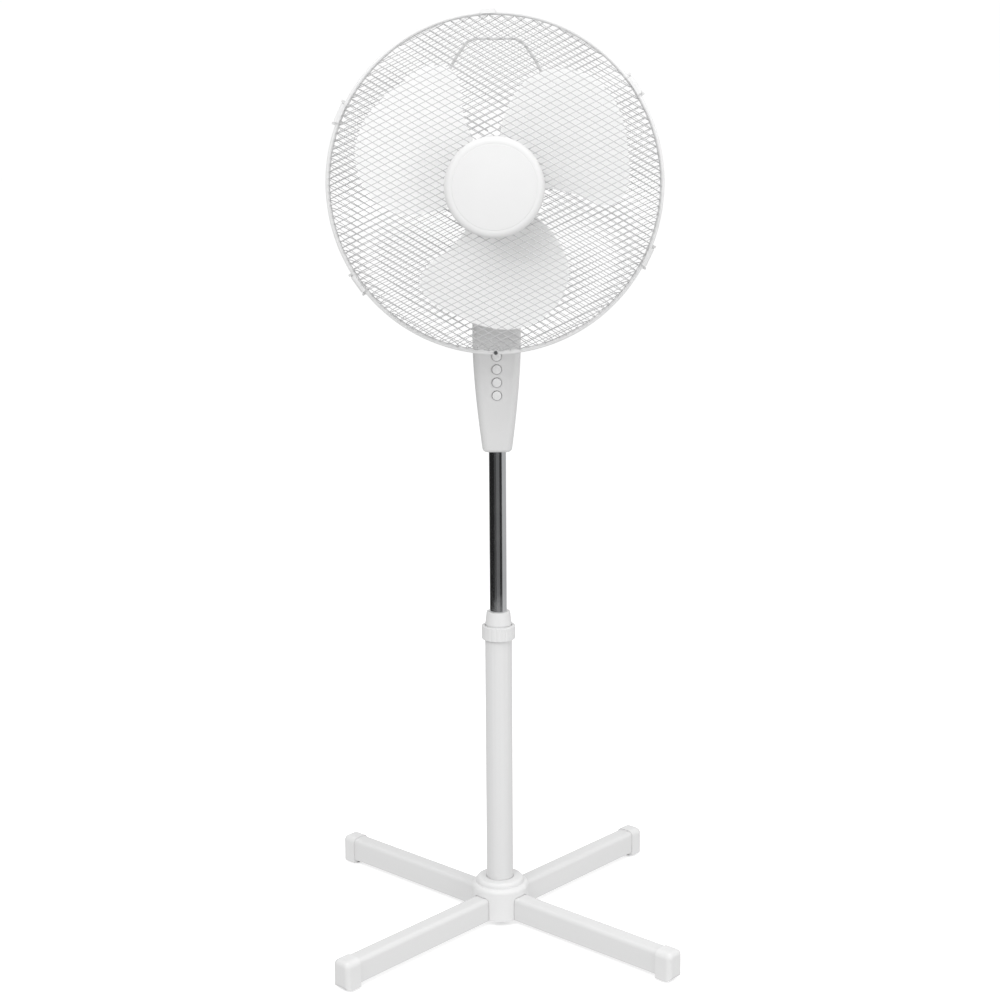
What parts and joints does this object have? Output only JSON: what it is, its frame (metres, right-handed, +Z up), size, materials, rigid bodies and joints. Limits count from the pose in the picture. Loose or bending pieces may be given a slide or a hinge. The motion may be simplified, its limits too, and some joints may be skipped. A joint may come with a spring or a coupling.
{
  "type": "pedestal fan",
  "caption": "Free-standing pedestal fan with cross legs, telescopic post, push-button box, tilting oscillating motor head, wide-blade propeller and a diamond mesh guard",
  "frame": {"origin": "on the floor, under the axis of the post, at the middle of the cross base", "axes": "+Z up along the post; the fan faces -Y and blows that way; +X is to the right of someone facing the fan"},
  "size_m": [0.4864, 0.4864, 1.264],
  "materials": {
    "white_paint": "satin white enamel",
    "white_plastic": "semi-gloss moulded",
    "rim_plastic": "satin moulded",
    "rubber_pad": "matt",
    "chrome_tube": "mirror plated",
    "mesh_wire": "thin satin enamel",
    "blade_plastic": "smooth moulded",
    "black_plastic": "matt",
    "steel": "zinc plated",
    "motor_iron": "laminated, oiled",
    "copper_winding": "varnished copper",
    "bearing_bronze": "sintered",
    "cast_alloy": "as cast",
    "gear_plastic": "natural nylon"
  },
  "bodies": {
    "base": {"leg_bar_lower": "white_paint", "leg_bar_upper": "white_paint", "end_cap_front_left": "white_plastic", "end_cap_front_right": "white_plastic", "end_cap_rear_left": "white_plastic", "end_cap_rear_right": "white_plastic", "foot_pads": "rubber_pad", "hub_cover": "white_plastic", "lower_pole": "white_paint", "base_screws": "steel", "pole_collar": "white_plastic"},
    "clamp_ring": {"height_clamp_ring": "white_plastic"},
    "slider": {"pole_bush": "black_plastic"},
    "mast": {"inner_pole": "chrome_tube", "housing_front": "white_plastic", "housing_rear": "white_plastic", "housing_screws": "steel", "switch_block": "black_plastic", "capacitor": "black_plastic", "cord_inlet": "white_plastic", "pole_lock_screw": "white_plastic", "tilt_yoke": "steel", "tilt_bolt": "steel"},
    "tilt_hand_nut": {"tilt_knob": "white_plastic"},
    "neck": {"neck": "white_plastic"},
    "link": {"oscillation_link": "steel"},
    "head": {"motor_cover_front": "white_plastic", "motor_cover_rear": "white_plastic", "stator_core": "motor_iron", "stator_coils": "copper_winding", "end_bracket_front": "cast_alloy", "shaft_bearings": "bearing_bronze", "gearbox_housing": "cast_alloy", "rear_guard_plate": "mesh_wire", "rear_guard_mesh": "mesh_wire", "rear_rim": "mesh_wire", "front_rim": "mesh_wire", "front_guard_mesh": "mesh_wire", "rim_fastener": "steel", "rim_hook": "rim_plastic", "badge": "white_plastic", "badge_backplate": "white_plastic", "badge_screws": "steel", "guard_nut": "white_plastic", "carrying_handle": "mesh_wire"},
    "rotor": {"rotor": "motor_iron", "motor_shaft": "steel", "propeller": "blade_plastic", "spinner": "blade_plastic"},
    "crank": {"crank_gear": "gear_plastic"},
    "worm": {"worm_spindle": "gear_plastic"},
    "pull_knob": {"oscillation_knob": "white_plastic"},
    "button_1": {"push_button_1": "white_plastic"},
    "button_2": {"push_button_2": "white_plastic"},
    "button_3": {"push_button_3": "white_plastic"},
    "button_4": {"push_button_4": "white_plastic"},
    "clip_upper_right": {"guard_clip_upper_right": "rim_plastic"},
    "clip_upper_left": {"guard_clip_upper_left": "rim_plastic"},
    "clip_lower_left": {"guard_clip_lower_left": "rim_plastic"},
    "clip_lower_right": {"guard_clip_lower_right": "rim_plastic"}
  },
  "joints": [
    {"name": "height_ring_turn", "type": "hinge", "parent": "base", "child": "clamp_ring", "pos_m": [0, 0, 0.427], "axis": [0, 0, 1], "range_deg": [0, 180]},
    {"name": "height_slide", "type": "slide", "parent": "base", "child": "slider", "axis": [0, 0, 1], "range_m": [-0.22, 0.025]},
    {"name": "post_swivel", "type": "hinge", "parent": "slider", "child": "mast", "pos_m": [0, 0, 0.4], "axis": [0, 0, 1], "range_deg": [-180, 180]},
    {"name": "neck_tilt", "type": "hinge", "parent": "mast", "child": "neck", "pos_m": [0, 0, 0.907], "axis": [1, 0, 0], "range_deg": [-20, 15]},
    {"name": "tilt_nut_turn", "type": "hinge", "parent": "mast", "child": "tilt_hand_nut", "pos_m": [0.025, 0, 0.907], "axis": [1, 0, 0], "range_deg": [0, 180]},
    {"name": "head_oscillation", "type": "hinge", "parent": "neck", "child": "head", "pos_m": [0, 0, 0.98], "axis": [0, 0, 1], "range_deg": [-40, 40]},
    {"name": "link_swing", "type": "hinge", "parent": "neck", "child": "link", "pos_m": [-0.026, 0, 0.978], "axis": [0, 0, 1], "range_deg": [-34, 34]},
    {"name": "rotor_spin", "type": "hinge", "parent": "head", "child": "rotor", "pos_m": [0, -0.1, 1.0475], "axis": [0, 1, 0], "continuous": true},
    {"name": "worm_wheel_spin", "type": "hinge", "parent": "head", "child": "worm", "pos_m": [0.0145, 0.02829, 1.0475], "axis": [0, 0, 1], "continuous": true},
    {"name": "crank_spin", "type": "hinge", "parent": "head", "child": "crank", "pos_m": [0, 0.045, 0.986], "axis": [0, 0, 1], "continuous": true},
    {"name": "oscillation_knob_pull", "type": "slide", "parent": "head", "child": "pull_knob", "axis": [0, 0, 1], "range_m": [0, 0.01]},
    {"name": "button_1_press", "type": "slide", "parent": "mast", "child": "button_1", "axis": [0, 1, 0], "range_m": [0, 0.0035], "stiffness_N_per_m": 500, "springref_m": -0.002},
    {"name": "button_2_press", "type": "slide", "parent": "mast", "child": "button_2", "axis": [0, 1, 0], "range_m": [0, 0.0035], "stiffness_N_per_m": 500, "springref_m": -0.002},
    {"name": "button_3_press", "type": "slide", "parent": "mast", "child": "button_3", "axis": [0, 1, 0], "range_m": [0, 0.0035], "stiffness_N_per_m": 500, "springref_m": -0.002},
    {"name": "button_4_press", "type": "slide", "parent": "mast", "child": "button_4", "axis": [0, 1, 0], "range_m": [0, 0.0035], "stiffness_N_per_m": 500, "springref_m": -0.002},
    {"name": "clip_upper_right_open", "type": "hinge", "parent": "head", "child": "clip_upper_right", "pos_m": [0.17776, -0.113, 1.17197], "axis": [-0.5736, 0, 0.8192], "range_deg": [0, 70]},
    {"name": "clip_upper_left_open", "type": "hinge", "parent": "head", "child": "clip_upper_left", "pos_m": [-0.19667, -0.113, 1.13921], "axis": [-0.4226, 0, -0.9063], "range_deg": [0, 70]},
    {"name": "clip_lower_left_open", "type": "hinge", "parent": "head", "child": "clip_lower_left", "pos_m": [-0.17776, -0.113, 0.92303], "axis": [0.5736, 0, -0.8192], "range_deg": [0, 70]},
    {"name": "clip_lower_right_open", "type": "hinge", "parent": "head", "child": "clip_lower_right", "pos_m": [0.19667, -0.113, 0.95579], "axis": [0.4226, 0, 0.9063], "range_deg": [0, 70]}
  ],
  "couplings": [
    {"joint": "link_swing", "follows": "head_oscillation", "ratio": 0.785},
    {"joint": "worm_wheel_spin", "follows": "rotor_spin", "ratio": 0.027778},
    {"joint": "crank_spin", "follows": "rotor_spin", "ratio": -0.004427}
  ]
}
